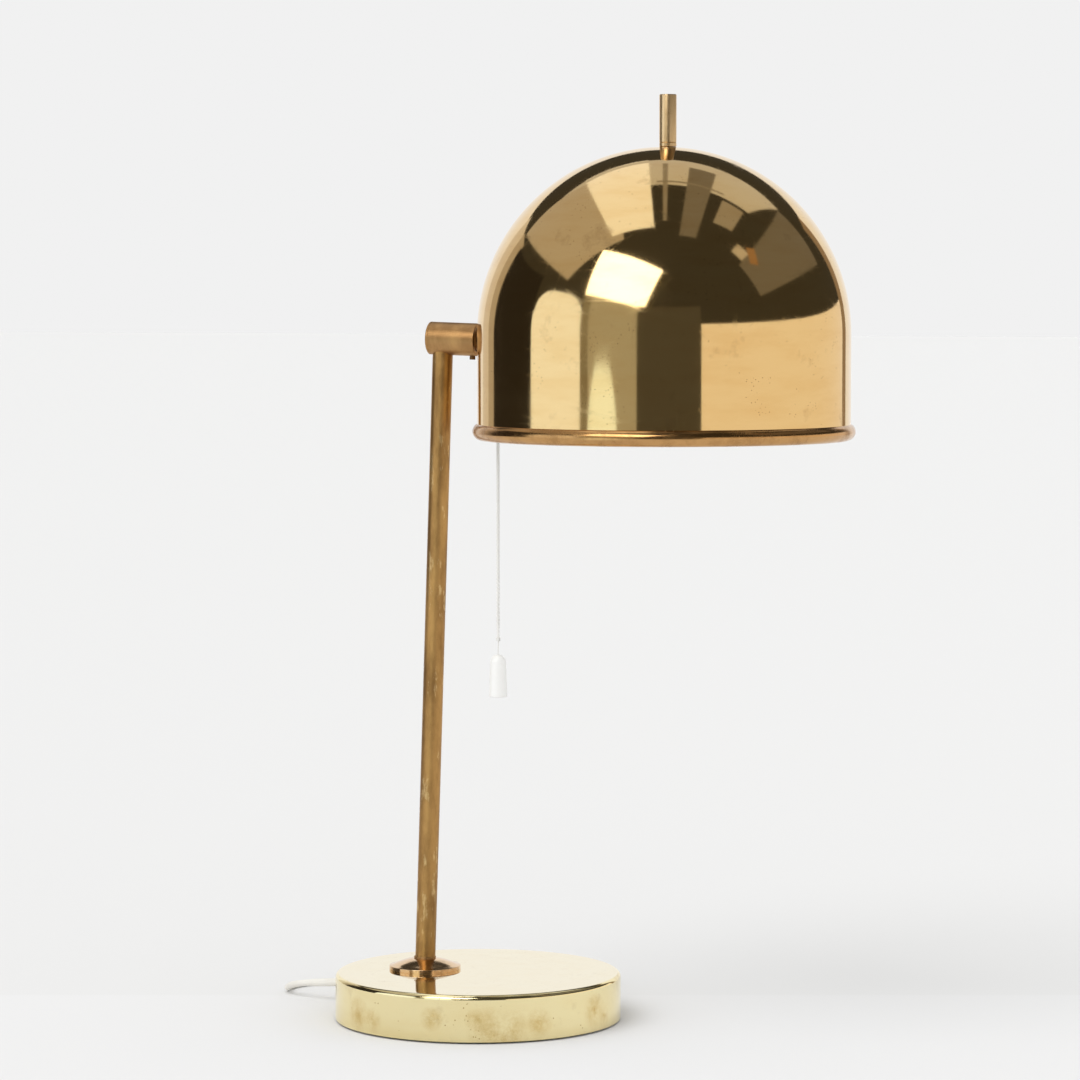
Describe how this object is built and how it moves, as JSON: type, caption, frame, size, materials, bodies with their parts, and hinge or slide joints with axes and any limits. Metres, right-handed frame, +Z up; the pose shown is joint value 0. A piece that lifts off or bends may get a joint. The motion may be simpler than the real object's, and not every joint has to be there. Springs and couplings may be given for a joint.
{
  "type": "table lamp",
  "caption": "Brass desk lamp: dome shade with rolled rim on a ball joint, slim leaning stem, heavy round base, pull switch.",
  "frame": {"origin": "centre of the round base's underside, on the desk", "axes": "+Z up; +X from the stem's foot towards the shade, square to the tilt hinge's axis"},
  "size_m": [0.3946, 0.2785, 0.5787],
  "materials": {
    "brass_polished": "polished and lacquered, lightly scratched",
    "brass_aged": "dull brown patina",
    "steel_zinc": "zinc plated",
    "cast_iron": "as cast",
    "felt": "matte",
    "bakelite": "moulded",
    "porcelain": "glazed",
    "plain_brass": "stamped",
    "bulb_glass": "opal",
    "bulb_metal": "bright",
    "cord_fabric": "twisted",
    "white_plastic": "moulded",
    "lead_white": "satin",
    "nylon": "moulded"
  },
  "bodies": {
    "stand": {"base_shell": "brass_polished", "base_weight": "cast_iron", "base_plate": "steel_zinc", "felt_pad": "felt", "plate_screws": "steel_zinc", "stem_flange": "brass_polished", "stem_foot_ring": "brass_aged", "stem_tube": "brass_aged", "stem_nipple": "steel_zinc", "foot_washer": "steel_zinc", "foot_nut": "steel_zinc", "cord_sleeve": "lead_white", "cord_clamp": "steel_zinc", "clamp_screws": "steel_zinc", "stem_lead": "lead_white", "joint_barrel": "brass_aged", "barrel_end_cap": "brass_aged", "disc_spring": "steel_zinc", "retaining_ring": "plain_brass", "joint_set_screw": "brass_aged", "mains_cord": "lead_white", "cord_coil": "lead_white", "cord_tail": "lead_white", "coil_tie": "white_plastic", "plug_body": "white_plastic", "plug_pins": "plain_brass"},
    "ball_cup": {"friction_cup": "nylon"},
    "head": {"joint_ball": "brass_aged", "shade_dome": "brass_polished", "shade_skirt": "brass_polished", "shade_washer": "steel_zinc", "shade_nut": "steel_zinc", "finial_rod": "brass_polished", "finial_washer": "steel_zinc", "finial_screw": "steel_zinc", "lampholder_cap": "bakelite", "lampholder_sleeve": "bakelite", "holder_insert": "porcelain", "thread_shell": "plain_brass", "centre_contact": "plain_brass", "terminal_screws": "plain_brass", "switch_block": "bakelite", "switch_nozzle": "plain_brass", "bulb_cap": "bulb_metal", "bulb_glass": "bulb_glass", "head_lead": "lead_white"},
    "switch_rod": {"pull_slider": "plain_brass"},
    "hanging_cord": {"cord_link": "plain_brass", "pull_cord": "cord_fabric", "pull_knob": "white_plastic"}
  },
  "joints": [
    {"name": "shade_roll", "type": "hinge", "parent": "stand", "child": "ball_cup", "pos_m": [-0.00447, 0, 0.428], "axis": [0.9995, 0, -0.0325], "range_deg": [-90, 90]},
    {"name": "shade_tilt", "type": "hinge", "parent": "ball_cup", "child": "head", "pos_m": [-0.00447, 0, 0.428], "axis": [0, 1, 0], "range_deg": [-24, 18]},
    {"name": "switch_pull", "type": "slide", "parent": "head", "child": "switch_rod", "axis": [0, 0, -1], "range_m": [0, 0.005], "stiffness_N_per_m": 1200, "springref_m": -0.001},
    {"name": "cord_swing", "type": "hinge", "parent": "switch_rod", "child": "hanging_cord", "pos_m": [0.01863, -0.014, 0.3992], "axis": [0, 1, 0], "range_deg": [-25, 10]}
  ]
}
